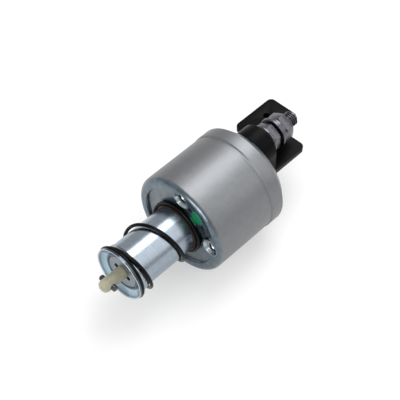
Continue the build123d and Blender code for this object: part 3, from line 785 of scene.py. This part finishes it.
def coil(name, place, mean_r, start, sweep, wire, step=6.0):
    """Wire of a diameter along a coil about X; place gives x in mm for an angle from the start."""
    bpy.ops.object.select_all(action="DESELECT")
    bpy.ops.curve.primitive_nurbs_path_add()
    path = bpy.context.object
    path.name = path.data.name = name
    path.data.splines.clear()
    count = round(sweep / step)
    line = path.data.splines.new("POLY")
    line.points.add(count)
    for i, point in enumerate(line.points):
        turn = sweep * i / count
        angle = radians(start + turn)
        point.co = (place(turn) * MM, mean_r * cos(angle) * MM, mean_r * sin(angle) * MM, 1.0)
    path.data.dimensions = "3D"
    path.data.twist_mode = "MINIMUM"
    path.data.bevel_depth = wire / 2 * MM
    path.data.bevel_resolution = 4
    path.data.use_fill_caps = True
    bpy.ops.object.convert(target="MESH")
    piece = bpy.context.object
    bpy.ops.object.mode_set(mode="EDIT")
    closed_up(weld)
    return piece


# %% The return spring
cup_seat, face_seat, spring_wire, spring_r = -38.2, 0.3, 1.7, 13.9
spring_closed, spring_open, open_from = 345.0, 714.0, 52.0
ease = 0.25


def return_place(turn):
    """Closed coil on the cup, open coils that ease in and out, closed coil on the front face."""
    low, high = cup_seat + spring_wire / 2 + seat_gap, face_seat - spring_wire / 2 - seat_gap
    part = min(max((turn - spring_closed) / spring_open, 0.0), 1.0)
    eased = part - sin(2 * pi * part) / (2 * pi)
    return low + (high - low) * ((1 - ease) * part + ease * eased)


return_spring = coil(
    "return_coil",
    return_place,
    spring_r,
    open_from - spring_closed,
    2 * spring_closed + spring_open,
    spring_wire,
)
fitted(return_spring, "housing", "black_spring", "return_spring", angle=60.0)
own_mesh(return_spring)


# %% The three springs inside
closed_turn = 300.0


def closed_place(low, high, turns):
    """The rule for a coil whose ends lie closed."""

    def place(turn):
        part = min(max((turn - closed_turn) / (turns * 360 - 2 * closed_turn), 0.0), 1.0)
        return low + (high - low) * part * part * (3 - 2 * part)

    return place


def inner_spring(node, body, seats, mean_r, turns, wire):
    """A spring between two seats, in millimetres, riding on a body."""
    reach = wire / 2 + seat_gap
    place = closed_place(seats[0] + reach, seats[1] - reach, turns)
    spring = coil(node + "_coil", place, mean_r, 0.0, turns * 360.0, wire, step=10.0)
    fitted(spring, body, "bare_spring", node, angle=60.0)
    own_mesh(spring)


inner_spring("meshing_spring", "plunger", (-36.0, -5.05), 5.9, 8, 1.8)
inner_spring(
    "contact_pressure_spring", "contact_rod", (43.3, 45.9), 3.1, 2.5, 0.8
)
inner_spring("contact_return_spring", "housing", (49.5, 56.5), 3.05, 5, 0.7)

# %% [markdown]
# ## Floor, light and camera
#
# The photograph is a shop picture on pure white. The floor is pale paper that also glows a little to the
# camera and in reflections, so it shows white there and still takes the solenoid's own soft shadow. Three
# softboxes light the solenoid: a broad key above it, a low one before its front end and a weak fill.

# %% The floor
floor_size, floor_gap = 6.0, 0.0001
floor_z = cad_low.z
paper_glow = 0.42
bpy.ops.object.select_all(action="DESELECT")
bpy.ops.mesh.primitive_plane_add(size=floor_size, location=(0, 0, floor_z - floor_gap))
floor = bpy.context.object
floor.name = "floor"
floor_finish, tree, _ = blank("white paper")
paper = add(tree, "ShaderNodeBsdfDiffuse", {"Color": linear("#f4f4f4")})
glow = add(tree, "ShaderNodeEmission", {"Color": linear("#ffffff"), "Strength": 1.0})
path = add(tree, "ShaderNodeLightPath")
seen = path.outputs["Is Camera Ray"]
for kind in ("Is Glossy Ray", "Is Transmission Ray"):
    seen = maths(tree, "ADD", seen, path.outputs[kind], use_clamp=True)
mixed = add(tree, "ShaderNodeMixShader", {"Fac": maths(tree, "MULTIPLY", seen, paper_glow)})
tree.links.new(paper.outputs["BSDF"], mixed.inputs[1])
tree.links.new(glow.outputs["Emission"], mixed.inputs[2])
add(tree, "ShaderNodeOutputMaterial", {"Surface": mixed.outputs["Shader"]})
floor.data.materials.append(floor_finish)
print("floor at", floor_z)

# %% The world
world_light = 0.66
world = bpy.data.worlds.new("studio")
bpy.context.scene.world = world
world.use_nodes = True
tree = world.node_tree
tree.nodes.clear()
sky = add(tree, "ShaderNodeBackground", {"Color": linear("#ffffff"), "Strength": world_light})
add(tree, "ShaderNodeOutputWorld", {"Surface": sky.outputs["Background"]})
print("world light", world_light)

# %% The lamps
middle = Vector((0.02, 0.0, 0.0))
lamp_away = 0.9


def softbox(name, way, across, along, radiance):
    """An area lamp that looks at the solenoid; its power follows from its size and brightness."""
    place = middle + lamp_away * Vector(way)
    bpy.ops.object.light_add(type="AREA", location=place)
    lamp = bpy.context.object
    lamp.name = name
    lamp.data.shape = "RECTANGLE"
    lamp.data.size = across
    lamp.data.size_y = along
    lamp.data.energy = radiance * pi * across * along
    lamp.rotation_euler = (middle - place).to_track_quat("-Z", "Y").to_euler()
    print(name, "power", lamp.data.energy)


softbox("key softbox", (0.457, 0.146, 0.877), 0.5, 0.9, 3.75)
softbox("front softbox", (-0.88, -0.18, 0.36), 0.6, 0.42, 3.6)
softbox("fill softbox", (0.457, -0.60, 0.66), 0.5, 0.9, 1.1)

# %% The camera
camera_place, camera_pitch, camera_yaw = (-0.23677, -0.24074, 0.43301), 39.244, -46.284
sensor_width, lens = 36.0, 103.5
bpy.ops.object.camera_add(location=camera_place)
camera = bpy.context.object
camera.rotation_euler = (radians(camera_pitch), 0.0, radians(camera_yaw))
camera.data.sensor_width = sensor_width
camera.data.lens = lens
camera.data.clip_start = 0.01
bpy.context.scene.camera = camera
bpy.context.scene.view_settings.view_transform = "Standard"
print("camera at", camera_place)

# %% Sizes, and the end of the lesson
print("CAD box", list(cad_low), list(cad_high))
